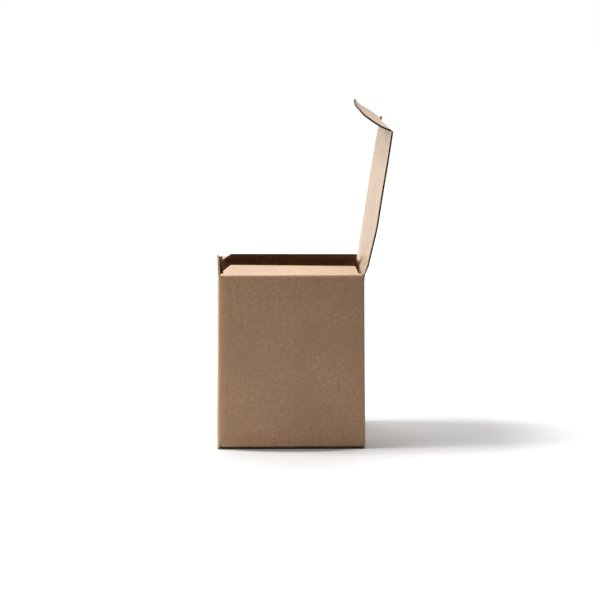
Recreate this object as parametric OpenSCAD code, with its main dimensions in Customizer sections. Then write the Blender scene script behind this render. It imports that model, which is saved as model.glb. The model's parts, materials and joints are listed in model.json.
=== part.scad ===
// A tuck-end carton for a mug, standing with its lid open.
// The front wall faces -Y and the lid swings on the right wall, +X.
// The origin is on the floor, under the middle of the four walls.

/* [Box] */
// Outside width, across the front wall
box_w = 90; // [70:1:120]
// Outside depth, from the front wall to the back wall
box_d = 120; // [104:1:160]
// Height of the front and back walls between their folds
wall_h = 105.5; // [80:0.5:140]
// How far the raw edges of the left wall stand past those folds
edge_rise = 0.8; // [0.4:0.1:1]

/* [Board] */
// Thickness of the fluted board
board_t = 1.1; // [1:0.1:1.5]
// Inside radius of a fixed fold
fold_r = 0.5; // [0.3:0.1:1.5]
// Room between sheets that lie on each other or turn past each other
room = 0.3; // [0.2:0.05:0.4]

/* [Glued seam] */
// Width of the glued strip inside the back wall
seam_w = 14; // [8:1:25]
// How far the strip stops short of the wall's top and bottom
seam_short = 6; // [4:1:12]
// Slant of the strip's two ends, in degrees
seam_slant = 15; // [5:1:30]
// How far the back wall's raw edge stays inside the left face
seam_set = 0.4; // [0.2:0.1:0.8]
// How deep the strip is pressed into the back wall's liner
seam_bed = 0.05; // [0.02:0.01:0.2]

/* [Lid] */
// How far the lid's side edges stay inside the front and back faces
lid_inset = 0.5; // [0.3:0.1:1.5]
// How far the lid bows outwards in its middle
lid_bow = 1; // [0.5:0.1:2]
// How far the lid is open, in degrees from shut
lid_open = 100.8; // [60:0.2:150]

/* [Tuck flap] */
// Length of the tuck flap from its fold to its free edge
tuck_len = 22; // [15:0.5:22.5]
// How far the tuck flap curls outwards
tuck_bow = 0.6; // [0.3:0.1:1]
// Radius of its two free corners
tuck_corner_r = 9; // [3:0.5:12]
// How much each side draws in towards the free edge
tuck_taper = 1; // [0:0.5:3]
// Fold of the tuck flap from the lid's plane, in degrees
tuck_fold = 67; // [40:1:100]

/* [Dust flaps] */
// Length of a dust flap from its fold to its free edge
flap_len = 48; // [30:1:50]
// Length of the full-width shoulder on the tuck side
shoulder_len = 5; // [3:0.5:12]
// Room for the tuck flap's swing, from the left wall to a flap's side
swing_room = 4; // [3.9:0.1:6]
// Where the tuck side starts to slant, from the fold
slant_start = 18; // [14:1:26]
// How far the tuck side slants in by the free edge
slant_in = 3.6; // [1:0.1:8]
// Room from the right wall to the flap's hinge side
hinge_side_room = 3.1; // [1:0.1:6]
// Radius of the free corners
flap_corner_r = 1.2; // [0.5:0.1:4]
// Rise of the front dust flap, in degrees from flat
front_lift = 0.8; // [0.2:0.1:3]
// Rise of the back dust flap, in degrees from flat
back_lift = 7; // [1:0.5:20]

/* [Bottom] */
// Length of the bottom tuck flap
bottom_tuck_len = 20; // [12:1:20]
// Fold of the bottom tuck flap, in degrees
bottom_fold = 98; // [98:1:104]

/* [Hidden] */
$fn = 48;
kraft = [0.62, 0.49, 0.37];
liner = [0.78, 0.69, 0.60];
bow_steps = 16;
corner_steps = 8;
over = 5;
// the folded tube of walls
x_out = box_w / 2;
y_out = box_d / 2;
x_in = x_out - board_t;
y_in = y_out - board_t;
fold_out = fold_r + board_t;
slot_x = x_out - fold_out;
slot_y = y_out - fold_out;
// levels from the floor up
low_fold = board_t + room;
high_fold = low_fold + wall_h;
flap_axis_z = high_fold - board_t / 2;
flap_axis_y = y_out - board_t / 2;
wall_top = flap_axis_z - board_t / 2 - room;
lid_axis_x = x_out - board_t / 2;
lid_axis_z = high_fold + room + board_t / 2;
// the lid and its tuck flap
lid_len = lid_axis_x + x_in - room - board_t / 2;
lid_half = y_out - lid_inset;
tuck_half = flap_axis_y - shoulder_len - room;
slot_end = board_t / 2 + 1.5 * room;
flap_half = slot_x - room;
bottom_fold_x = room + fold_out - x_in;
// the outer face of the glued strip, and the end of the left wall's flat
seam_y = y_in + seam_bed;
left_end = seam_y - fold_out;

// radius of the circle through both ends of a chord and its raised middle
function bow_radius(len, bow) = (len * len / 4 + bow * bow) / (2 * bow);

// points of a round corner about a centre
function corner(centre, radius, from, to) = [
  for (i = [0 : corner_steps])
    let (turn = from + (to - from) * i / corner_steps) centre + radius * [cos(turn), sin(turn)]
];

// section of a bowed sheet that runs from the origin towards -X, with a round knuckle on the origin
module bowed_section(len, bow, past) {
  radius = bow_radius(len, bow);
  half_angle = asin(len / (2 * radius));
  end_angle = asin((len / 2 + past) / radius);
  angles = [for (i = [0 : bow_steps]) -half_angle + (half_angle + end_angle) * i / bow_steps];
  centre = [-len / 2, bow - radius];
  rays = [for (a = angles) [-sin(a), cos(a)]];
  outer = [for (ray = rays) centre + (radius + board_t / 2) * ray];
  inner = [for (i = [bow_steps : -1 : 0]) centre + (radius - board_t / 2) * rays[i]];
  polygon(concat(outer, inner));
  circle(d = board_t);
}

// a section drawn in X and Z, stretched evenly along Y
module along_y(half) {
  rotate([90, 0, 0]) translate([0, 0, -half]) linear_extrude(2 * half) children();
}

// a quarter of a folded sheet, in the corner where X and Y are positive
module quarter_fold() {
  intersection() {
    difference() {
      circle(r = fold_out);
      circle(r = fold_r);
    }
    square(fold_out);
  }
}

// plan of the four walls, with the back left corner left for the seam
module wall_plan() {
  for (side = [-1, 1]) {
    translate([side * slot_x, -slot_y]) mirror([(1 - side) / 2, 0]) mirror([0, 1]) quarter_fold();
  }
  translate([slot_x, slot_y]) quarter_fold();
  translate([-slot_x, -y_out]) square([2 * slot_x, board_t]);
  translate([x_in, -slot_y]) square([board_t, 2 * slot_y]);
  translate([seam_set - x_out, y_in]) square([slot_x + x_out - seam_set, board_t]);
  translate([-x_out, -slot_y]) square([board_t, slot_y + left_end]);
  translate([-slot_x, left_end]) mirror([1, 0]) quarter_fold();
}

// the strip glued inside the back wall, with slanting ends
module seam_strip() {
  strip_h = wall_h - 2 * seam_short;
  slant = seam_w * tan(seam_slant);
  translate([-slot_x, seam_y, low_fold + seam_short]) rotate([90, 0, 0]) linear_extrude(board_t) {
    polygon([[0, 0], [seam_w, slant], [seam_w, strip_h - slant], [0, strip_h]]);
  }
}

// plan of a dust flap: its fold is the X axis and its free edge is at +Y
module flap_plan() {
  tuck_side = swing_room - x_in;
  hinge_side = x_in - hinge_side_room;
  free_left = [tuck_side + slant_in + flap_corner_r, flap_len - flap_corner_r];
  free_right = [hinge_side - flap_corner_r, flap_len - flap_corner_r];
  polygon(concat(
    [
      [-flap_half, 0],
      [flap_half, 0],
      [flap_half, shoulder_len / 2],
      [hinge_side, shoulder_len / 2 + flap_half - hinge_side]
    ],
    corner(free_right, flap_corner_r, 0, 90),
    corner(free_left, flap_corner_r, 90, 180),
    [
      [tuck_side, slant_start],
      [tuck_side, shoulder_len],
      [-flap_half, shoulder_len]
    ]
  ));
}

// a dust flap lying flat, with the knuckle of its fold on the X axis
module dust_flap() {
  translate([0, 0, -board_t / 2]) linear_extrude(board_t) flap_plan();
  rotate([0, 90, 0]) cylinder(d = board_t, h = 2 * flap_half, center = true);
}

// a bottom dust flap and its fixed fold, below the front wall
module bottom_dust_flap() {
  translate([0, -flap_axis_y, low_fold]) linear_extrude(board_t) intersection() {
    flap_plan();
    translate([-x_in, flap_axis_y - slot_y]) square([2 * x_in, flap_len]);
  }
  translate([-slot_x, -slot_y, low_fold + fold_out]) rotate([90, 0, 90]) linear_extrude(2 * slot_x) {
    rotate(180) quarter_fold();
  }
}

// the room cut from the front and back walls at a fold level, between their corners
module fold_cut(level, depth) {
  for (side = [-1, 1]) {
    translate([0, side * y_out, level]) cube([2 * slot_x, 2 * fold_out, 2 * depth], center = true);
  }
}

// the walls, the seam and the bottom dust flaps are one folded sheet
module carton_walls() {
  color(kraft) {
    difference() {
      translate([0, 0, low_fold]) linear_extrude(wall_h) wall_plan();
      fold_cut(high_fold, high_fold - wall_top);
      fold_cut(low_fold, fold_out);
    }
    translate([-x_out, -slot_y, low_fold - edge_rise]) {
      cube([board_t, slot_y + left_end, wall_h + 2 * edge_rise]);
    }
    seam_strip();
    bottom_dust_flap();
    mirror([0, 1, 0]) bottom_dust_flap();
  }
}

// brings what is drawn shut, from the hinge towards -X, to the open lid
module on_lid() {
  translate([lid_axis_x, 0, lid_axis_z]) rotate([0, lid_open, 0]) children();
}

// a bowed panel with two ears that flank the tuck flap's fold
module lid() {
  color(liner) on_lid() difference() {
    along_y(lid_half) bowed_section(lid_len, lid_bow, board_t / 2);
    translate([-lid_len - over, -tuck_half - room, -over]) {
      cube([over + slot_end, 2 * (tuck_half + room), 2 * over]);
    }
  }
}

// plan of the tuck flap, from its fold on the Y axis towards -X
module tuck_plan() {
  free_half = tuck_half - tuck_taper;
  corner_x = tuck_corner_r - tuck_len;
  polygon(concat(
    [[over, -tuck_half], [over, tuck_half], [0, tuck_half]],
    corner([corner_x, free_half - tuck_corner_r], tuck_corner_r, 90, 180),
    corner([corner_x, tuck_corner_r - free_half], tuck_corner_r, 180, 270),
    [[0, -tuck_half]]
  ));
}

// a curled flap that turns on the lid's far fold
module tuck_flap() {
  color(kraft) on_lid() translate([-lid_len, 0, 0]) rotate([0, -tuck_fold, 0]) intersection() {
    mirror([0, 0, 1]) along_y(tuck_half) bowed_section(tuck_len, tuck_bow, 0);
    translate([0, 0, -over]) linear_extrude(2 * over) tuck_plan();
  }
}

module front_dust_flap() {
  color(kraft) translate([0, -flap_axis_y, flap_axis_z]) rotate([front_lift, 0, 0]) dust_flap();
}

module back_dust_flap() {
  color(kraft) mirror([0, 1, 0]) translate([0, -flap_axis_y, flap_axis_z]) {
    rotate([back_lift, 0, 0]) dust_flap();
  }
}

// section of the bottom panel's fold and tuck flap, drawn in X and Z
module bottom_tuck_section() {
  translate([bottom_fold_x, fold_out]) {
    rotate(270 - bottom_fold) intersection() {
      difference() {
        circle(r = fold_out);
        circle(r = fold_r);
      }
      fold_end = over * [cos(bottom_fold), sin(bottom_fold)];
      polygon([[0, 0], [over, 0], [over, over], [-over, over], fold_end]);
    }
    rotate(-bottom_fold) translate([-bottom_tuck_len, -fold_out]) square([bottom_tuck_len, board_t]);
  }
}

// the bottom panel and its tuck flap, shut, with a knuckle under the right wall
module bottom_panel() {
  color(kraft) {
    along_y(lid_half) {
      translate([bottom_fold_x, 0]) square([lid_axis_x - bottom_fold_x, board_t]);
      translate([lid_axis_x, board_t / 2]) circle(d = board_t);
    }
    along_y(tuck_half) bottom_tuck_section();
  }
}

carton_walls();
lid();
tuck_flap();
front_dust_flap();
back_dust_flap();
bottom_panel();
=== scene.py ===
# %% [markdown]
# # A mug box of thin fluted board
#
# A tuck-end carton is one flat sheet of fluted board. A die cuts it out, presses
# creases into it, and a machine folds it and glues one seam. This lesson goes the same
# way. Each piece of card starts flat, as three plies: the liner on the outside, the
# liner on the inside and the wavy fluting between them. Then the flat plies are folded
# round a path, so the raw edges show real waves and the folds show a real bend.
#
# The imported CAD model comes first. It stays where it is, and every piece that is made
# here stands for one of its nodes. The walls and the bottom's dust flaps hang on the
# carton's body.

# %% Load the frame
import json
import math

import bmesh
import bpy
import numpy as np
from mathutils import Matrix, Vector


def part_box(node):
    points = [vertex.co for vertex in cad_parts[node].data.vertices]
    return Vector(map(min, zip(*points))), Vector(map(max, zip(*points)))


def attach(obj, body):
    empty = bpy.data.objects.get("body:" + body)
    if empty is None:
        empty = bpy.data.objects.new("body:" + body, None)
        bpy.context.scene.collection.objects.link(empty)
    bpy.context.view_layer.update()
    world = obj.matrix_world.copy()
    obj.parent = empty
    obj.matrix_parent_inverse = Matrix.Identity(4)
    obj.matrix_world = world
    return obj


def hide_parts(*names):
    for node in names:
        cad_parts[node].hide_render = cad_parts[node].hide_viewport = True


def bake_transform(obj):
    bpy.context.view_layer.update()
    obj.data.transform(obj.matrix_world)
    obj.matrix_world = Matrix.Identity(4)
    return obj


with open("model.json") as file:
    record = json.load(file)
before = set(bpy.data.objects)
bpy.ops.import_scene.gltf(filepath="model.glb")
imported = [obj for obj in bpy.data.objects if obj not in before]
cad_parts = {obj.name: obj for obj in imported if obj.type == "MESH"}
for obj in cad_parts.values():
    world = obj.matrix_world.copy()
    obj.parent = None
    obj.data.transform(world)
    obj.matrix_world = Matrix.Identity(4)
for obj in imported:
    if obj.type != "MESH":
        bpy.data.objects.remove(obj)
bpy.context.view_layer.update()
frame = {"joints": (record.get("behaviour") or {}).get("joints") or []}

# %% [markdown]
# The sizes of the card follow the CAD. The walls, the hinges and the widths of the lid
# and the flaps are read from the frame, and their lengths are set beside the code that
# folds them. What CAD leaves out is set here once, in metres: how thin the liners are,
# and how far it is from one wave of the fluting to the next.

# %% Read the box and set the board
MM = 0.001
BOARD = 1.1 * MM
LINER = 0.16 * MM
FLUTING = 0.16 * MM
WAVE = 3.0 * MM
WAVE_STEPS = 8

walls_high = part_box("carton_walls")[1]
hinge = {joint["name"]: joint["pos_m"] for joint in frame["joints"]}
HALF_W = walls_high.x
HALF_D = walls_high.y
LID_X, _, LID_Z = hinge["lid_hinge"]
FLAP_Z = hinge["front_dust_fold"][2]
BASE_Z = hinge["bottom_hinge"][2]
FOLD_R = 1.05 * MM
MID_X = HALF_W - BOARD / 2
MID_Y = HALF_D - BOARD / 2
SLOT_X = MID_X - FOLD_R
SLOT_Y = MID_Y - FOLD_R
print("walls", round(2 * HALF_W, 4), "x", round(2 * HALF_D, 4), "lid hinge", hinge["lid_hinge"])

# %% [markdown]
# A fold is easiest to describe as a walk. Someone walks along the middle of the board,
# so many millimetres straight on, then a short length that turns by so many degrees.
# The walk gives a place for any distance along the card, with the side that points out
# of the box. It also says where the flat ply needs a cut, since a ply can only bend
# where it has vertices.

# %% Walk along a folded sheet
STRIDE = 0.1 * MM
LONGEST_CELL = 4 * MM
MOST_BEND = 9


class Walk:
    """The middle of a folded sheet, seen edge-on, with a way to place points on it."""

    def __init__(self, start, heading, lengths, outside):
        at, turn = [0.0], [math.radians(heading)]
        spots = [start]
        self.cuts = []
        self.marks = [0.0]
        for length, bend in lengths:
            steps = max(1, math.ceil(length / STRIDE))
            cells = max(math.ceil(length / LONGEST_CELL), math.ceil(abs(bend) / MOST_BEND))
            self.cuts += [at[-1] + length * i / cells for i in range(1, cells + 1)]
            step = length / steps
            for _ in range(steps):
                way = turn[-1] + math.radians(bend) / steps / 2
                first, second = spots[-1]
                spots.append((first + step * math.cos(way), second + step * math.sin(way)))
                turn.append(turn[-1] + math.radians(bend) / steps)
                at.append(at[-1] + step)
            self.marks.append(at[-1])
        self.at, self.turn = np.array(at), np.array(turn)
        self.spots, self.outside = np.array(spots), outside

    def place(self, along, out):
        """Points that lie so far along the walk and so far out of its middle."""
        past = along - np.clip(along, 0, self.at[-1])
        way = np.interp(along, self.at, self.turn)
        first = np.interp(along, self.at, self.spots[:, 0]) + past * np.cos(way)
        second = np.interp(along, self.at, self.spots[:, 1]) + past * np.sin(way)
        side = self.outside * out
        return first + side * np.sin(way), second - side * np.cos(way)


# %% [markdown]
# A flat ply is one face with the outline of the card. Its corners are rounded with
# bevel, planes cut it into strips where it will bend, and an extrusion gives it its
# thickness. The fluting gets many more cuts, because its vertices then rise and fall
# as a wave.

# %% Cut a flat ply
CORNER_CUTS = 7
CUT_SNAP = 2e-6


def flat_ply(outline, rounded, across, along, low, high):
    """A flat, closed ply between two heights, cut at the places across and along it."""
    bm = bmesh.new()
    corners = [bm.verts.new((*spot, low)) for spot in outline]
    bm.faces.new(corners)
    for number, radius in rounded.items():
        bmesh.ops.bevel(bm, geom=[corners[number]], offset=radius, segments=CORNER_CUTS,
                        profile=0.5, affect="VERTICES", material=-1)
    for axis, places in ((0, across), (1, along)):
        normal = [0.0, 0.0, 0.0]
        normal[axis] = 1.0
        for place in places:
            spot = [0.0, 0.0, low]
            spot[axis] = place
            bmesh.ops.bisect_plane(bm, geom=bm.verts[:] + bm.edges[:] + bm.faces[:],
                                   dist=CUT_SNAP, plane_co=spot, plane_no=normal)
    made = bmesh.ops.extrude_face_region(bm, geom=bm.faces[:])["geom"]
    top = [v for v in made if isinstance(v, bmesh.types.BMVert)]
    bmesh.ops.translate(bm, verts=top, vec=(0, 0, high - low))
    bmesh.ops.recalc_face_normals(bm, faces=bm.faces[:])
    return bm


def places_between(outline, axis, step):
    """Evenly spaced places across an outline."""
    low = min(spot[axis] for spot in outline)
    high = max(spot[axis] for spot in outline)
    count = max(1, round((high - low) / step))
    return [low + (high - low) * i / count for i in range(1, count)]


# %% [markdown]
# Next the three plies become a folded board. Where a crease runs, the die has pressed
# the board thin, so the plies come closer together there. Each vertex keeps its place
# on the flat blank in a UV map. Fibres and specks then run on from a wall to its flap,
# as on a real blank, and stay with the card when it moves. An attribute named fold
# marks the creases, for the wear and for a painted highlight on the rounded fold. Each
# ply has its own paper, and the faces where the knife has cut through the card have a
# fourth one, which paints their light or shade.

# %% Fold three plies into a board
pieces = {}
PRESSED = 0.3
PRESS_EDGE = 0.1 * MM
COARSE_CUT = 6 * MM
FLUTE_SKIP = 5
CUT_FACE = 3
MAP_SCALE = 10
SHARP_EDGE = 35


def pressed(along, creases):
    """How near to a crease each point is, from 0 to 1."""
    near = np.zeros_like(along)
    for start, end in creases:
        middle, reach = (start + end) / 2, (end - start) / 2 + PRESS_EDGE
        near = np.maximum(near, np.exp(-(((along - middle) / reach) ** 4)))
    return near


def board(name, outline, walk, place, blank, creases=(), waves=0, rounded=None, shape=None,
          settle=None):
    """Fold one outline of card.

    place turns a point of the walk into one in space, and blank gives its place on the
    flat sheet. waves is the axis across the flutes. shape lifts points off the folded
    sheet, and settle moves the finished ones.
    """
    half = BOARD / 2
    rise = half - LINER - FLUTING / 2
    low, high = (pick(spot[1] for spot in outline) for pick in (min, max))
    bends = [cut for cut in walk.cuts if low < cut < high]
    coarse = places_between(outline, 0, COARSE_CUT)
    fine = places_between(outline, waves, WAVE / WAVE_STEPS)
    flute_cuts = (fine, bends) if waves == 0 else (coarse[::FLUTE_SKIP], fine)
    plies = (
        (coarse, bends, half - LINER, half),
        (coarse, bends, -half, LINER - half),
        (*flute_cuts, -FLUTING / 2, FLUTING / 2),
    )
    whole = bmesh.new()
    for number, (across, along, bottom, top) in enumerate(plies):
        bm = flat_ply(outline, rounded or {}, across, along, bottom, top)
        sheet_map = bm.loops.layers.uv.new("blank")
        fold_mark = bm.verts.layers.float.new("fold")
        for face in bm.faces:
            face.material_index = CUT_FACE if abs(face.normal.z) < 0.5 else number
            for loop in face.loops:
                a, q, _ = loop.vert.co
                loop[sheet_map].uv = [MAP_SCALE * v for v in blank(a, q)]
        a, q, w = np.array([vert.co for vert in bm.verts]).T
        near = pressed(q, creases)
        if number == 2:
            w = w + rise * np.sin((a, q)[waves] * 2 * math.pi / WAVE)
        w = w * (1 - PRESSED * near)
        if shape:
            w = w + shape(a, q)
        solid = place(a, *walk.place(q, w))
        if settle:
            solid = settle(solid)
        for vert, spot, mark in zip(bm.verts, solid, near):
            vert.co = spot
            vert[fold_mark] = mark
        bmesh.ops.recalc_face_normals(bm, faces=bm.faces[:])
        ply = bpy.data.meshes.new("ply")
        bm.to_mesh(ply)
        bm.free()
        whole.from_mesh(ply)
        bpy.data.meshes.remove(ply)
    mesh = bpy.data.meshes.new(name)
    whole.to_mesh(mesh)
    whole.free()
    mesh.shade_smooth()
    mesh.set_sharp_from_angle(angle=math.radians(SHARP_EDGE))
    made = bpy.data.objects.new(name, mesh)
    bpy.context.scene.collection.objects.link(made)
    pieces[name] = made
    print(name, len(mesh.polygons), "faces")
    return made


def seen_from_above(a, first, second):
    """A walk in plan: the flat card's first axis is the height."""
    return np.column_stack([first, second, a])


def seen_from_front(a, first, second):
    """A walk in X and Z, with the fold line along Y."""
    return np.column_stack([first, a, second])


def seen_from_side(a, first, second):
    """A walk in Y and Z, with the fold line along X."""
    return np.column_stack([a, first, second])


# %% [markdown]
# The four walls are one strip of card, folded at four corners and glued into a sleeve.
# The walk starts at the free edge of the glued strip, inside the back wall, and goes
# round the box: left, front, right, back. The outline steps down between the corners
# where a flap's own card takes over. The raw top edge of the left wall stands a little
# higher than the folds beside it, as the photograph shows. The walls lean in a little at
# the top, but the opened lid draws the right wall out, most of all towards the back.

# %% Fold the sleeve of walls
STRIP_W = 14 * MM
STRIP_SHORT = 6 * MM
STRIP_SLANT = STRIP_W * math.tan(math.radians(15))
SEAM_BED = 0.05 * MM
SEAM_SET = 0.4 * MM
CORNER = FOLD_R * math.pi / 2
LOW = 1.2 * MM
HIGH = FLAP_Z + BOARD / 2
EDGE_RISE = 0.8 * MM
ROOT = 1.9 * MM
SLIT = 0.05 * MM
# where the left wall's raw edge rises beside the seam and sinks before the front corner
RISE_FROM, RISE_TO = 0.6 * MM, 1.4 * MM
SINK_FROM, SINK_TO = 0.2 * MM, 0.7 * MM

strip_y = MID_Y - BOARD + SEAM_BED
walls_round = [(STRIP_W, 0), (CORNER, 90), (strip_y - FOLD_R + SLOT_Y, 0), (CORNER, 90),
               (2 * SLOT_X, 0), (CORNER, 90), (2 * SLOT_Y, 0), (CORNER, 90),
               (SLOT_X + HALF_W - SEAM_SET, 0)]
sleeve = Walk((-SLOT_X + STRIP_W, strip_y), 180, walls_round, outside=1)
strip_q, left_q, left_end, front_q, front_end = sleeve.marks[1:6]
right_q, right_end, back_q, back_edge = sleeve.marks[6:]
back_end = back_q + 2 * SLOT_X
print("the strip of walls is", round(back_edge, 4), "long")


def sleeve_half(fold, past, root, strip, slant):
    """The outline along one end of the sleeve, from the glued strip to the back wall's edge."""
    line = [(strip + slant, 0), (strip, strip_q), (2 * fold - past, strip_q + RISE_FROM),
            (past, strip_q + RISE_TO), (past, left_end - SINK_FROM), (fold, left_end + SINK_TO)]
    for first, last in ((front_q, front_end), (right_q, right_end), (back_q, back_end)):
        line += [(fold, first), (root, first + SLIT), (root, last - SLIT), (fold, last)]
    return line + [(fold, back_edge)]


LEAN_IN = 0.45 * MM
LEAN_OUT = 0.2 * MM
HINGE_FADE = 2.7 * MM
# how far the right wall is drawn out along Y, in millimetres, and the share of it by height
DRAWN_ALONG = ((-50, -20, 10, 38, 60), (0, 0.2, 0.9, 1.5, 1.1))
DRAWN_UP = ((45 * MM, 75 * MM, LID_Z, LID_Z + 3 * MM, LID_Z + 8 * MM), (0, 0.3, 1, 0.5, 0))


def lean(solid):
    """Moves points of the walls in at the top, and those of the right wall out at its back."""
    x, y, z = solid.T
    height = np.clip(z / HIGH, 0, 1)
    inwards = LEAN_IN * height - LEAN_OUT * (1 - height)
    below_hinge = np.where(x > 0, np.clip((LID_Z - z) / HINGE_FADE, 0, 1), 1)
    drawn_out = np.interp(y / MM, *DRAWN_ALONG) * MM * np.interp(z, *DRAWN_UP)
    moved = solid.copy()
    moved[:, 0] -= inwards * below_hinge * x / HALF_W
    moved[:, 0] += drawn_out * np.clip(x / HALF_W, 0, 1)
    return moved


top_line = sleeve_half(HIGH, HIGH + EDGE_RISE, HIGH - ROOT, HIGH - STRIP_SHORT, -STRIP_SLANT)
low_line = sleeve_half(LOW, LOW - EDGE_RISE, LOW + ROOT, LOW + STRIP_SHORT, STRIP_SLANT)
folds = [(strip_q, left_q), (left_end, front_q), (front_end, right_q), (right_end, back_q)]
board("wall_sleeve", low_line + top_line[::-1], sleeve, seen_from_above, lambda a, q: (a, q),
      folds, waves=1, settle=lean)
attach(pieces["wall_sleeve"], "carton")

# %% [markdown]
# A dust flap hangs on the front wall's top edge, and its twin on the back wall's. The
# wall's card comes up, turns over the crease and runs inwards. On the lid's side the
# flap is cut back straight. On the other side it has a shoulder by the fold and then
# slants, so that the lid's tuck flap finds its way in. The front flap springs back by
# less than a degree and is a little twisted. The back flap has been bent, so that it
# dips behind its crease and then rises, and it is wider on the lid's side.

# %% Cut and fold the dust flaps
FLAP_LEN = 48 * MM
FLAP_R = 0.7 * MM
FLAP_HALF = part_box("front_dust_flap")[1].x
FLAP_HINGE_SIDE = 40.8 * MM
FLAP_TUCK_SIDE = -41.2 * MM
FLAP_FREE_LEFT = -36.3 * MM
FLAP_CORNERS = {5: 1.2 * MM, 6: 1.2 * MM}
SHOULDER = 5 * MM
SHOULDER_DROP = 0.6 * MM
FLAP_INSET = 0.3 * MM
NECK_BELOW, NECK_FROM, NECK_END, HINGE_STEP = -0.5 * MM, 1 * MM, 2.5 * MM, 4.8 * MM
SLANT_FROM = 18.5 * MM
TWIST_FROM = 0.5 * MM


def flap_outline(root, shoulder=SHOULDER, hinge_side=FLAP_HINGE_SIDE):
    """A flap's outline, where root is the length of card before its fold."""
    def past(distance):
        return root + distance
    return [
        (-FLAP_HALF + FLAP_INSET, 0), (FLAP_HALF - FLAP_INSET, 0), (FLAP_HALF, past(NECK_FROM)),
        (FLAP_HALF, past(NECK_END)), (hinge_side, past(HINGE_STEP)), (hinge_side, past(FLAP_LEN)),
        (FLAP_FREE_LEFT, past(FLAP_LEN)), (FLAP_TUCK_SIDE, past(SLANT_FROM)),
        (FLAP_TUCK_SIDE, past(shoulder)), (-FLAP_HALF, past(shoulder - SHOULDER_DROP)),
        (-FLAP_HALF, past(NECK_BELOW)),
    ]


def blank_from(start, way, middle, across=1):
    """Places on the flat sheet for a flap that goes up or down from this height of a wall."""
    return lambda a, q: (start + way * q, middle + across * a)


WALL_MIDDLE = {-1: front_q + SLOT_X, 1: back_q + SLOT_X}


def twisted(root, left, right):
    """A flap that stands up more on one side: degrees at its left and at its right."""
    def rise(a, q):
        share = np.clip((a + FLAP_HALF) / (2 * FLAP_HALF), 0, 1)
        degrees = left + (right - left) * share
        return np.tan(np.radians(degrees)) * np.clip(q - root - TWIST_FROM, 0, None)
    return rise


# lift is in degrees above level, bends are lengths with degrees upwards, twist is in
# degrees at both sides, and cut is the shoulder and the place of the side by the lid
TOP_FLAPS = {
    "front_dust_flap": {"side": -1, "lift": 0.8, "bends": [(FLAP_LEN, 0)], "twist": (0.7, -0.6),
                        "cut": (SHOULDER, FLAP_HINGE_SIDE)},
    "back_dust_flap": {"side": 1, "lift": -4, "bends": [(8 * MM, 0), (18 * MM, 17), (22 * MM, 0)],
                       "twist": (0.2, -0.2), "cut": (0.6 * MM, 43.1 * MM)},
}
straight = FLAP_Z - FLAP_R - (HIGH - ROOT)
root = straight + FLAP_R * (math.pi / 2 - 1)
for name, flap in TOP_FLAPS.items():
    side = flap["side"]
    turns = [(straight, 0), (FLAP_R * math.pi / 2, side * (90 - flap["lift"]))]
    turns += [(length, -side * up) for length, up in flap["bends"]]
    walk = Walk((side * MID_Y, HIGH - ROOT), 90, turns, outside=side)
    card = board(name + "_card", flap_outline(root, *flap["cut"]), walk, seen_from_side,
                 blank_from(HIGH - ROOT, 1, WALL_MIDDLE[side], -side),
                 [(straight, straight + FLAP_R * math.pi / 2)], rounded=FLAP_CORNERS,
                 shape=twisted(root, *flap["twist"]))
    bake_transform(card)
    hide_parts(name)

# %% [markdown]
# The bottom has two dust flaps of the same cut. They are folded flat and lie between
# the walls above the bottom panel, so they only open after it and have no hinge.

# %% Fold the dust flaps of the bottom
straight = LOW + ROOT - (LOW + BOARD / 2 + FOLD_R)
root = straight + CORNER - FOLD_R
for name, side in (("front_base_flap", -1), ("back_base_flap", 1)):
    walk = Walk((side * MID_Y, LOW + ROOT), 270,
                [(straight, 0), (CORNER, -side * 90), (FLAP_LEN, 0)], outside=-side)
    board(name, flap_outline(root), walk, seen_from_side,
          blank_from(LOW + ROOT, -1, WALL_MIDDLE[side], -side),
          [(straight, straight + CORNER)], rounded=FLAP_CORNERS)
    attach(pieces[name], "carton")
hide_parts("carton_walls")

# %% [markdown]
# The lid is the right wall's card, carried on past its crease. A sheet that was shut
# once and opened again isn't flat: it leans out sharply just above the crease. Its front
# edge then bellies out over the lower half and comes back further up, and its back edge
# soon bends the other way. Both were measured on the photograph as the distance of the
# card from the CAD's hinge-to-fold line, and the sheet runs smoothly between them.

# %% Bend the lid
LID_LEAN = 10.8
LID_LEN = 87.5 * MM
LID_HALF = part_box("lid")[1].y
TUCK_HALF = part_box("tuck_flap")[1].y
up_lid = np.array([math.sin(math.radians(LID_LEAN)), math.cos(math.radians(LID_LEAN))])
off_lid = np.array([up_lid[1], -up_lid[0]])
# pairs of millimetres: how far up the lid, and how far off its straight line
front_edge = ((-2.5, 0), (0, 0.25), (3, 1.2), (12, 1.5), (19, 1.85), (28.5, 2.2), (43, 1.7),
              (54, 1.35), (69, 1.0), (87.5, 0.25))
back_edge_line = ((-2.5, 0), (0, 0.25), (3, 0.95), (15, 0.8), (28.5, 0.4), (44, -0.2),
                  (60, -0.7), (82, -1.2), (87.5, -1.2))
LINE_SPAN = (-12, 112)
LINE_STEP = 0.25
SOFTENED = 2.0


def soft_line(knots):
    """A smooth curve through a few measured points, in millimetres."""
    at = np.arange(*LINE_SPAN, LINE_STEP)
    line = np.interp(at, *zip(*knots))
    window = np.hanning(int(2 * SOFTENED / LINE_STEP) + 3)
    line = np.convolve(np.pad(line, len(window), mode="edge"), window / window.sum(), mode="same")
    return at * MM, line[len(window):-len(window)] * MM


front_bend, back_bend = soft_line(front_edge), soft_line(back_edge_line)


def bend_lid(solid):
    """Moves points off the straight lid, by how far they are up it and along its fold."""
    solid = lean(solid)
    up = np.clip((solid[:, ::2] - (LID_X, LID_Z)) @ up_lid, None, LID_LEN)
    share = np.clip((solid[:, 1] + LID_HALF) / (2 * LID_HALF), 0, 1)
    out = np.interp(up, *front_bend) * (1 - share) + np.interp(up, *back_bend) * share
    moved = solid.copy()
    moved[:, ::2] += out[:, None] * off_lid
    return moved


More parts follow.
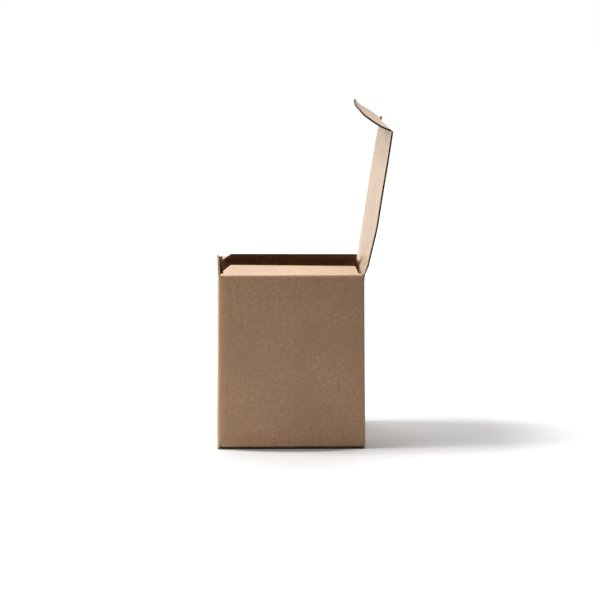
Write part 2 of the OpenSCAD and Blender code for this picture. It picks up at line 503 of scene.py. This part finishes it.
LID_ROOT = LID_Z - (HIGH - ROOT)
LID_END = LID_ROOT + LID_LEN
CREASE_STRIP = 2 * MM
LID_SEAM = LID_END - CREASE_STRIP
LID_SPARE = 3 * MM
LID_BEND = 0.7 * MM
NECK = SLOT_Y - 0.1 * MM
NECK_TOP, LID_WIDE = 2.1 * MM, 2.6 * MM
EAR = TUCK_HALF + 0.3 * MM
EAR_TIP = LID_END + 2.2 * MM
LID_ROUND = 0.8 * MM
RIGHT_MIDDLE = right_q + SLOT_Y
lid_outline = [
    (-NECK, 0), (NECK, 0), (NECK, NECK_TOP), (LID_HALF, LID_WIDE), (LID_HALF, EAR_TIP),
    (EAR, EAR_TIP), (EAR, LID_SEAM), (-EAR, LID_SEAM), (-EAR, LID_END), (-LID_HALF, LID_END),
    (-LID_HALF, LID_WIDE), (-NECK, NECK_TOP),
]
lid_walk = Walk((MID_X, HIGH - ROOT), 90,
                [(LID_ROOT - LID_BEND, 0), (2 * LID_BEND, -LID_LEAN), (LID_LEN + LID_SPARE, 0)],
                outside=1)
lid_card = board("lid_board", lid_outline, lid_walk, seen_from_front,
                 blank_from(HIGH - ROOT, 1, RIGHT_MIDDLE),
                 [(LID_ROOT - LID_BEND, LID_ROOT + LID_BEND)],
                 rounded=dict.fromkeys((4, 5, 8, 9), LID_ROUND), settle=bend_lid)
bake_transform(lid_card)
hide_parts("lid")

# %% [markdown]
# The tuck flap is the end of the lid, creased so that it turns inwards. It curls back a
# little, its free corners are cut round, and a handler has bent its back corner
# outwards. Its first two millimetres still lie on the lid, between the lid's two ears,
# so that the crease is part of this piece and bends with it.

# %% Bend the tuck flap
TUCK_LEN = 23 * MM
TUCK_FOLD = 84
TUCK_BEND = 9.5 * MM
TUCK_CURL = 4.5 * MM
# how many degrees it turns back below the crease, in the middle and at the tip
TURN_BACK = (15, 6, 20)
TUCK_R = 0.8 * MM
TUCK_BLEND = 0.8 * MM
TAPER = 1 * MM
TUCK_CORNERS = {3: 5 * MM, 4: 6 * MM}
tuck_cut = TUCK_R * math.tan(math.radians(TUCK_FOLD / 2))
tuck_arc = TUCK_R * math.radians(TUCK_FOLD)
tuck_crease = CREASE_STRIP - tuck_cut
tuck_root = CREASE_STRIP - 2 * tuck_cut + tuck_arc
tuck_start = np.array([LID_X, LID_Z]) + up_lid * (LID_LEN - CREASE_STRIP)
tuck_walk = Walk(tuple(tuck_start), 90 - LID_LEAN,
                 [(tuck_crease, 0), (tuck_arc, TUCK_FOLD), (TUCK_BEND - tuck_cut, -TURN_BACK[0]),
                  (TUCK_LEN - TUCK_BEND - TUCK_CURL, -TURN_BACK[1]), (TUCK_CURL, -TURN_BACK[2])],
                 outside=1)
tuck_outline = [
    (-TUCK_HALF, 0), (TUCK_HALF, 0), (TUCK_HALF, tuck_root + TAPER),
    (TUCK_HALF - TAPER, tuck_root + TUCK_LEN), (TAPER - TUCK_HALF, tuck_root + TUCK_LEN),
    (-TUCK_HALF, tuck_root + TAPER),
]
LIFT_FROM = 10 * MM
# millimetres past the crease, and how far the back corner stands off there
LIFT = ((0, 2.5, 5, 10, 14, 18, 22), (0, 1.1, 2.1, 2.6, 2.2, 2.1, 2.7))


def lifted_corner(a, q):
    """The back end of the flap stands outwards."""
    share = np.clip((a + LIFT_FROM) / (TUCK_HALF + LIFT_FROM), 0, 1) ** 1.5
    past = np.clip(q - tuck_root, 0, None) / MM
    return share * np.interp(past, *LIFT) * MM * np.clip(past, 0, 1)


tuck_card = board("tuck_board", tuck_outline, tuck_walk, seen_from_front,
                  blank_from(HIGH - ROOT + LID_SEAM, 1, RIGHT_MIDDLE),
                  [(tuck_crease, tuck_crease + tuck_arc)], rounded=TUCK_CORNERS,
                  shape=lifted_corner, settle=bend_lid)
tuck_way = math.radians(90 - LID_LEAN + TUCK_FOLD)
across = up_lid + (math.cos(tuck_way), math.sin(tuck_way))
across *= TUCK_BLEND / np.linalg.norm(across)
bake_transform(tuck_card)
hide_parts("tuck_flap")

# %% [markdown]
# The bottom panel is the right wall's card again, carried on past its lower crease. It
# closes the base and tucks up inside the left wall. The photograph doesn't show it, so
# it is finished plainly, as the mirror of a lid that is shut.

# %% Fold the bottom panel
BASE_END = -42.0 * MM
BASE_TUCK = 20 * MM
BASE_FOLD = 98
BASE_CORNERS = {7: 8 * MM, 8: 8 * MM}
straight = LOW + ROOT - (BASE_Z + FOLD_R)
flat = MID_X - FOLD_R - BASE_END
turn = FOLD_R * math.radians(BASE_FOLD)
base_walk = Walk((MID_X, LOW + ROOT), 270,
                 [(straight, 0), (CORNER, -90), (flat, 0), (turn, -BASE_FOLD), (BASE_TUCK, 0)],
                 outside=-1)
base_q, base_far, tuck_q, base_tip = base_walk.marks[2:]
neck_end, base_wide = base_q - 0.9 * MM, base_q - 0.3 * MM
base_outline = [
    (-NECK, 0), (NECK, 0), (NECK, neck_end), (LID_HALF, base_wide), (LID_HALF, base_far),
    (TUCK_HALF, base_far), (TUCK_HALF, tuck_q), (TUCK_HALF - TAPER, base_tip),
    (TAPER - TUCK_HALF, base_tip), (-TUCK_HALF, tuck_q), (-TUCK_HALF, base_far),
    (-LID_HALF, base_far), (-LID_HALF, base_wide), (-NECK, neck_end),
]
base_card = board("bottom_board", base_outline, base_walk, seen_from_front,
                  blank_from(LOW + ROOT, -1, RIGHT_MIDDLE),
                  [(straight, base_q), (base_far, tuck_q)], rounded=BASE_CORNERS)
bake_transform(base_card)
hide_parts("bottom_panel")

# %% [markdown]
# The finish of all pieces is paper, so one shader group draws what papers share:
# clouds of denser pulp, fibres, dark specks of bark, pale flecks, and the faint ridges
# where the flutes press through. The group reads the place on the flat blank, so that
# nothing slides when the lid moves. Each paper then has its own colours: the outer
# kraft, a slightly yellower one for the dust flaps, painted for how they look in full
# light, the inner liner, a paler one inside the lid with a painted sheen, the fluting,
# darkened with painted shade, and the cut edges, dark with painted shade on most pieces
# and pale with painted light on the walls.

# %% Shared paper pattern
RIDGE = 0.12
RIDGE_RATE = 2 * math.pi / MAP_SCALE / WAVE
# each noise has a scale, a stretch, a detail and a roughness
FIBRE_NOISE = (54, (1, 0.78, 1), 3, 0.72)
CLOUD_NOISE = (2.6, (1, 1, 1), 4, 0.6)
SPECK_NOISE = (46, (0.7, 1, 1), 1, 0.5)
FLECK_NOISE = (44, (1, 0.5, 1), 1, 0.5)


def calculated(nodes, link, operation, *values):
    """The result of a Math node whose inputs are other results or plain numbers."""
    made = nodes.new("ShaderNodeMath")
    made.operation = operation
    for socket, value in zip(made.inputs, values):
        if isinstance(value, (int, float)):
            socket.default_value = value
        else:
            link(value, socket)
    return made.outputs[0]


def smooth_ramp(nodes, link, value, low, high, near=0, far=1):
    """A value between near and far that follows another one smoothly from low to high."""
    ramp = nodes.new("ShaderNodeMapRange")
    ramp.interpolation_type = "SMOOTHSTEP"
    for socket, number in zip(("From Min", "From Max", "To Min", "To Max"), (low, high, near, far)):
        ramp.inputs[socket].default_value = number
    link(value, ramp.inputs["Value"])
    return ramp.outputs["Result"]


def paper_group():
    """A node group: a place on the blank goes in, masks and a height come out."""
    group = bpy.data.node_groups.new("paper_pulp", "ShaderNodeTree")
    group.interface.new_socket("Blank", in_out="INPUT", socket_type="NodeSocketVector")
    for name in ("Cloud", "Fibre", "Speck", "Fleck", "Height"):
        group.interface.new_socket(name, in_out="OUTPUT", socket_type="NodeSocketFloat")
    nodes, link = group.nodes, group.links.new
    start, end = nodes.new("NodeGroupInput"), nodes.new("NodeGroupOutput")

    def noise(scale, stretch, detail, rough):
        stretched = nodes.new("ShaderNodeMapping")
        stretched.inputs["Scale"].default_value = stretch
        link(start.outputs["Blank"], stretched.inputs["Vector"])
        made = nodes.new("ShaderNodeTexNoise")
        made.noise_dimensions = "2D"
        for socket, value in (("Scale", scale), ("Detail", detail), ("Roughness", rough)):
            made.inputs[socket].default_value = value
        link(stretched.outputs["Vector"], made.inputs["Vector"])
        return made.outputs["Fac"]

    fibre = noise(*FIBRE_NOISE)
    for name, pattern, low, high in (("Cloud", noise(*CLOUD_NOISE), 0.34, 0.66),
                                     ("Fibre", fibre, 0.24, 0.76),
                                     ("Speck", noise(*SPECK_NOISE), 0.7, 0.82),
                                     ("Fleck", noise(*FLECK_NOISE), 0.72, 0.84)):
        link(smooth_ramp(nodes, link, pattern, low, high), end.inputs[name])
    # the flutes press through the liner as faint ridges
    axes = nodes.new("ShaderNodeSeparateXYZ")
    link(start.outputs["Blank"], axes.inputs[0])
    turns = calculated(nodes, link, "MULTIPLY", axes.outputs["Y"], RIDGE_RATE)
    ridge = calculated(nodes, link, "SINE", turns)
    link(calculated(nodes, link, "MULTIPLY_ADD", ridge, RIDGE, fibre), end.inputs["Height"])
    return group


paper_pulp = paper_group()
print("the paper group gives", [socket.name for socket in paper_pulp.interface.items_tree])

# %% Papers
FIBRE_DEPTH = 0.88
FLECK_SHARE, SPECK_SHARE, FOLD_WEAR_AND_HIGHLIGHT = 0.6, 0.45, 0.5
BUMP_STRENGTH, BUMP_HEIGHT = 0.2, 0.2 * MM


def mixed(nodes, link, share, first, second):
    """A colour between two others, which are results of nodes or plain colours."""
    blend = nodes.new("ShaderNodeMix")
    blend.data_type = "RGBA"
    link(share, blend.inputs["Factor"])
    for side, colour in (("A", first), ("B", second)):
        socket = [s for s in blend.inputs if s.name == side and s.type == "RGBA"][0]
        if isinstance(colour, tuple):
            socket.default_value = (*colour, 1)
        else:
            link(colour, socket)
    return [s for s in blend.outputs if s.type == "RGBA"][0]


def paper(name, deep, pale, worn_and_highlight, speck, roughness):
    """One paper: its deep and pale pulp, its colour at folds, which is wear with a painted
    highlight, and its specks.
    """
    made = bpy.data.materials.new(name)
    made.use_nodes = True
    nodes, link = made.node_tree.nodes, made.node_tree.links.new
    shader = nodes["Principled BSDF"]
    place = nodes.new("ShaderNodeUVMap")
    place.uv_map = "blank"
    pulp = nodes.new("ShaderNodeGroup")
    pulp.node_tree = paper_pulp
    link(place.outputs["UV"], pulp.inputs["Blank"])
    fold = nodes.new("ShaderNodeAttribute")
    fold.attribute_name = "fold"

    colour = mixed(nodes, link, pulp.outputs["Cloud"], deep, pale)
    shade = tuple(FIBRE_DEPTH * v for v in deep)
    colour = mixed(nodes, link, pulp.outputs["Fibre"], shade, colour)
    # pale flecks, dark specks, and at the creases wear together with a painted highlight on the
    # fold
    for mask, other, strength in ((pulp.outputs["Fleck"], worn_and_highlight, FLECK_SHARE),
                                  (pulp.outputs["Speck"], speck, SPECK_SHARE),
                                  (fold.outputs["Fac"], worn_and_highlight, FOLD_WEAR_AND_HIGHLIGHT)):
        share = calculated(nodes, link, "MULTIPLY", mask, strength)
        colour = mixed(nodes, link, share, colour, other)
    link(colour, shader.inputs["Base Color"])
    shader.inputs["Roughness"].default_value = roughness
    bump = nodes.new("ShaderNodeBump")
    bump.inputs["Strength"].default_value = BUMP_STRENGTH
    bump.inputs["Distance"].default_value = BUMP_HEIGHT
    link(pulp.outputs["Height"], bump.inputs["Height"])
    link(bump.outputs["Normal"], shader.inputs["Normal"])
    return made


# the colours of deep pulp, pale pulp, card at wear and folds (with a painted highlight) and specks,
# and the roughness
PAPERS = {
    "outer_kraft": ((0.57, 0.328, 0.178), (0.69, 0.399, 0.219),
                    (0.72, 0.49, 0.33), (0.25, 0.14, 0.075), 0.36),
    # a yellower copy of the kraft for the dust flaps: painted light, as they lie in full light
    "flap_kraft": ((0.57, 0.357, 0.191), (0.69, 0.434, 0.235),
                   (0.72, 0.5, 0.34), (0.25, 0.14, 0.075), 0.36),
    "inner_liner": ((0.535, 0.335, 0.2), (0.65, 0.415, 0.247),
                    (0.7, 0.5, 0.36), (0.28, 0.16, 0.09), 0.5),
    # a paler copy of the liner inside the lid: a painted sheen, as it is seen at a grazing angle
    "lid_liner": ((0.6, 0.45, 0.31), (0.715, 0.54, 0.385),
                  (0.72, 0.55, 0.42), (0.28, 0.17, 0.1), 0.44),
    # the fluting's own paper, made darker as painted shade between the liners
    "fluting_paper": ((0.4, 0.26, 0.16), (0.46, 0.3, 0.19),
                      (0.5, 0.34, 0.22), (0.2, 0.12, 0.07), 0.85),
    # the cut edge in shade: a dark painted shade of the open flutes
    "raw_edge": ((0.1, 0.06, 0.036), (0.14, 0.085, 0.052),
                 (0.14, 0.085, 0.052), (0.06, 0.035, 0.02), 0.9),
    # the cut edge in full light: a pale painted light
    "top_edge": ((0.6, 0.41, 0.27), (0.68, 0.48, 0.33),
                 (0.7, 0.5, 0.35), (0.35, 0.2, 0.12), 0.8),
}
papers = {name: paper(name, *look) for name, look in PAPERS.items()}
for name, made in pieces.items():
    # the dust flaps get the lit copy of the kraft, painted for how they look in full light
    outer = "flap_kraft" if name.endswith("flap_card") else "outer_kraft"
    # the lid and tuck flap get the paler liner, a painted sheen
    liner = "lid_liner" if name in ("lid_board", "tuck_board") else "inner_liner"
    # the walls' fluting gets the outer kraft and their cut edge a pale paper, painted light where
    # it faces the lamps; other pieces get the darker fluting and a dark cut edge, painted shade
    core = ("outer_kraft", "top_edge") if name == "wall_sleeve" else ("fluting_paper", "raw_edge")
    for finish in (outer, liner, *core):
        made.data.materials.append(papers[finish])
print(len(papers), "papers on", len(pieces), "pieces")

# %% [markdown]
# The box was photographed on white. The floor and the world look white to the camera
# but send less light back, so the front wall keeps its deep colour. For the camera the
# floor glows, a painted brightness that is weaker near the box so that its shadow
# shows. Painted shade darkens it in front of the box, darkest in a thin line along the
# front wall, and it has no glow under the box, where no light gets in. What it sends
# back to the box comes from the left and the front, where the photographed wall is lit
# from below.

# %% Floor and world
FLOOR_SIZE = 6.0
FLOOR_CELLS = 24
FILL = (0.05, 0.05, 0.05)
WHITE = (1, 1, 1)
# a centre, the distances from it between which the floor changes, and its value at both;
# the first two shape the painted glow, weaker round the box and cut as painted shade in
# front of it
PAINTED_GLOW_AROUND_BOX = ((0, 0), 0.12, 0.30, 0.19, 1)
PAINTED_SHADE_IN_FRONT = ((-0.01, -0.09), 0.035, 0.11, 0.3, 1)
SENDS_BACK = ((-0.12, -0.1), 0.06, 0.4, 0.79, 0.15)
# painted contact shade: the line along the front wall, then what it does to the floor's glow and to
# its tone
PAINTED_CONTACT_LINE = ((0, -0.058), 0.01, 0.0165)
CONTACT_LINE_GLOW, CONTACT_LINE_TONE = (0, 1), (0.4, 0.9)
CONTACT_LINE_STRETCH = 0.34
bm = bmesh.new()
bmesh.ops.create_grid(bm, x_segments=FLOOR_CELLS, y_segments=FLOOR_CELLS, size=FLOOR_SIZE)
floor_mesh = bpy.data.meshes.new("studio_floor")
bm.to_mesh(floor_mesh)
bm.free()
floor = bpy.data.objects.new("studio_floor", floor_mesh)
bpy.context.scene.collection.objects.link(floor)


def seen_white(nodes, link):
    """1 for the camera, for gloss and for glass, 0 for all other light."""
    path = nodes.new("ShaderNodeLightPath")
    total = path.outputs["Is Camera Ray"]
    for other in ("Is Glossy Ray", "Is Transmission Ray"):
        total = calculated(nodes, link, "MAXIMUM", total, path.outputs[other])
    return total


pale = bpy.data.materials.new("studio_floor")
pale.use_nodes = True
nodes, link = pale.node_tree.nodes, pale.node_tree.links.new
shader = nodes["Principled BSDF"]
shader.inputs["Roughness"].default_value = 0.9
shader.inputs["Specular IOR Level"].default_value = 0.0
place = nodes.new("ShaderNodeTexCoord").outputs["Object"]


def on_floor(operation, first, second=None):
    """A Vector Math node on places of the floor, with its first input linked."""
    made = nodes.new("ShaderNodeVectorMath")
    made.operation = operation
    link(first, made.inputs[0])
    if second:
        made.inputs[1].default_value = second
    return made.outputs["Value" if operation == "DISTANCE" else "Vector"]


def by_reach(centre, low, high, near, far, stretch=1.0):
    """A value that changes smoothly with the distance from a place on the floor."""
    spread = on_floor("MULTIPLY", place, (stretch, 1, 1))
    reach = on_floor("DISTANCE", spread, (stretch * centre[0], centre[1], 0))
    return smooth_ramp(nodes, link, reach, low, high, near, far)


def beside_box():
    """1 on the open floor and 0 under the box, where a closed carton lets no light in."""
    past = on_floor("SUBTRACT", on_floor("ABSOLUTE", place), (HALF_W, HALF_D, 0))
    axes = nodes.new("ShaderNodeSeparateXYZ")
    link(past, axes.inputs[0])
    farther = calculated(nodes, link, "MAXIMUM", axes.outputs["X"], axes.outputs["Y"])
    return calculated(nodes, link, "GREATER_THAN", farther, 0)


white = seen_white(nodes, link)
# the camera-only glow: weaker round the box, cut as painted shade in front of it and along its
# front wall, and none under the box
glow_with_painted_shade = white
for part in (by_reach(*PAINTED_GLOW_AROUND_BOX), by_reach(*PAINTED_SHADE_IN_FRONT),
             by_reach(*PAINTED_CONTACT_LINE, *CONTACT_LINE_GLOW, CONTACT_LINE_STRETCH), beside_box()):
    glow_with_painted_shade = calculated(nodes, link, "MULTIPLY", glow_with_painted_shade, part)
# the floor's tone: for the lamps, what it sends back; for the camera, darkened as painted shade
# along the front wall
tone = nodes.new("ShaderNodeMix")
tone.data_type = "FLOAT"
link(white, tone.inputs["Factor"])
link(by_reach(*SENDS_BACK), tone.inputs[2])
link(by_reach(*PAINTED_CONTACT_LINE, *CONTACT_LINE_TONE, CONTACT_LINE_STRETCH), tone.inputs[3])
link(tone.outputs[0], shader.inputs["Base Color"])
shader.inputs["Emission Color"].default_value = (*WHITE, 1)
link(glow_with_painted_shade, shader.inputs["Emission Strength"])
floor_mesh.materials.append(pale)

world = bpy.data.worlds.new("studio")
bpy.context.scene.world = world
world.use_nodes = True
nodes, link = world.node_tree.nodes, world.node_tree.links.new
sky = mixed(nodes, link, seen_white(nodes, link), FILL, WHITE)
link(sky, nodes["Background"].inputs["Color"])
print("the floor reaches", max(vert.co.x for vert in floor_mesh.vertices), "m to each side")

# %% [markdown]
# Three lamps make the light, and the floor sends some of it back up to the front wall.
# The key hangs left of the box. How long the lid's shadow is sets how high it stands,
# and how soft the shadow's edge is sets its size. A second lamp on the left, 45 degrees
# high, reaches under the tuck flap and lights the inside of the lid. A wide lamp behind
# and above the box lights the flaps, and leaves the front wall in its own shade.

# %% Lamps
AIM = Vector((0, 0, 0.08))
# each lamp: angle round the box, angle up, distance, size in metres, and its level
LAMPS = (
    ("key_lamp", 191, 70.5, 1.1, (0.55, 0.22), 0.31),
    ("low_lamp", 180, 45, 1.3, (0.6, 0.6), 0.54),
    ("back_lamp", 92, 62, 1.3, (1.0, 1.0), 0.52),
)
for name, aside, height, reach, size, level in LAMPS:
    aside, height = math.radians(aside), math.radians(height)
    level_way = Vector((math.cos(aside), math.sin(aside), 0))
    way = math.cos(height) * level_way + Vector((0, 0, math.sin(height)))
    lamp = bpy.data.objects.new(name, bpy.data.lights.new(name, "AREA"))
    bpy.context.scene.collection.objects.link(lamp)
    lamp.data.shape = "RECTANGLE"
    lamp.data.size, lamp.data.size_y = size
    # the power that lights a level white card to this share of full white
    lamp.data.energy = level * (math.pi * reach) ** 2 / math.sin(height)
    lamp.location = AIM + way * reach
    lamp.rotation_euler = (-way).to_track_quat("-Z", "Y").to_euler()
    print(name, round(lamp.data.energy, 2), "W")

# %% [markdown]
# The camera stands 2.2 metres in front of the box, a little to the left and 6 degrees
# up, with a long lens. The distance follows from how much smaller the back edge is
# drawn than the front one, and the angles from how open the top looks and how much is
# seen of the inside of the lid.

# %% Camera
LENS = 210
FAR_END = 20
ASIDE, TILT, REACH = math.radians(-1.6), math.radians(6.34), 2.183
TARGET = Vector((0.00687, 0, 0.08477))
camera = bpy.data.objects.new("photo_camera", bpy.data.cameras.new("photo_camera"))
bpy.context.scene.collection.objects.link(camera)
bpy.context.scene.camera = camera
camera.data.lens = LENS
camera.data.clip_end = FAR_END
back = Vector((math.sin(ASIDE) * math.cos(TILT), -math.cos(ASIDE) * math.cos(TILT), math.sin(TILT)))
camera.location = TARGET + back * REACH
camera.rotation_euler = (-back).to_track_quat("-Z", "Y").to_euler()
bpy.context.scene.view_settings.view_transform = "Standard"
print("camera at", [round(v, 3) for v in camera.location])
